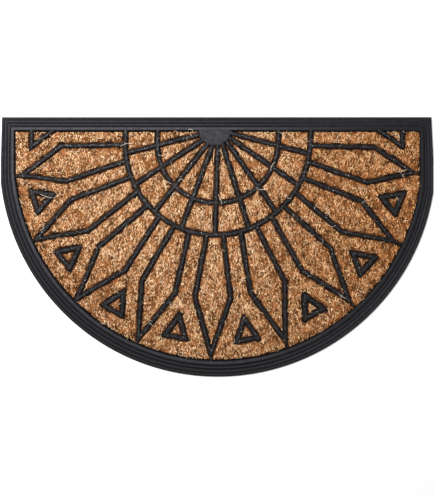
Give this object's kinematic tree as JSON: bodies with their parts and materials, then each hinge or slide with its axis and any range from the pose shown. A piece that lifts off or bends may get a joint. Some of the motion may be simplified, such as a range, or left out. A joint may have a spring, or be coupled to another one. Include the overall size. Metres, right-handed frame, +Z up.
{
  "type": "half-round doormat",
  "caption": "Half-round doormat of coir matting held in a black rubber moulding with a ridged border and a sunburst of raised ribs.",
  "frame": {"origin": "centre of the mat's bounding rectangle, on the underside that lies on the floor", "axes": "+X along the straight edge, +Y towards the straight edge, +Z up from the floor"},
  "size_m": [0.75, 0.45, 0.01],
  "materials": {
    "black_rubber": "matt black moulded rubber, slightly bluish and dusty on the ridges",
    "coir_fibre": "golden brown coconut fibre, short, curly and matted"
  },
  "bodies": {
    "root": {"coir_matting": "coir_fibre", "rubber_moulding": "black_rubber"}
  },
  "joints": []
}
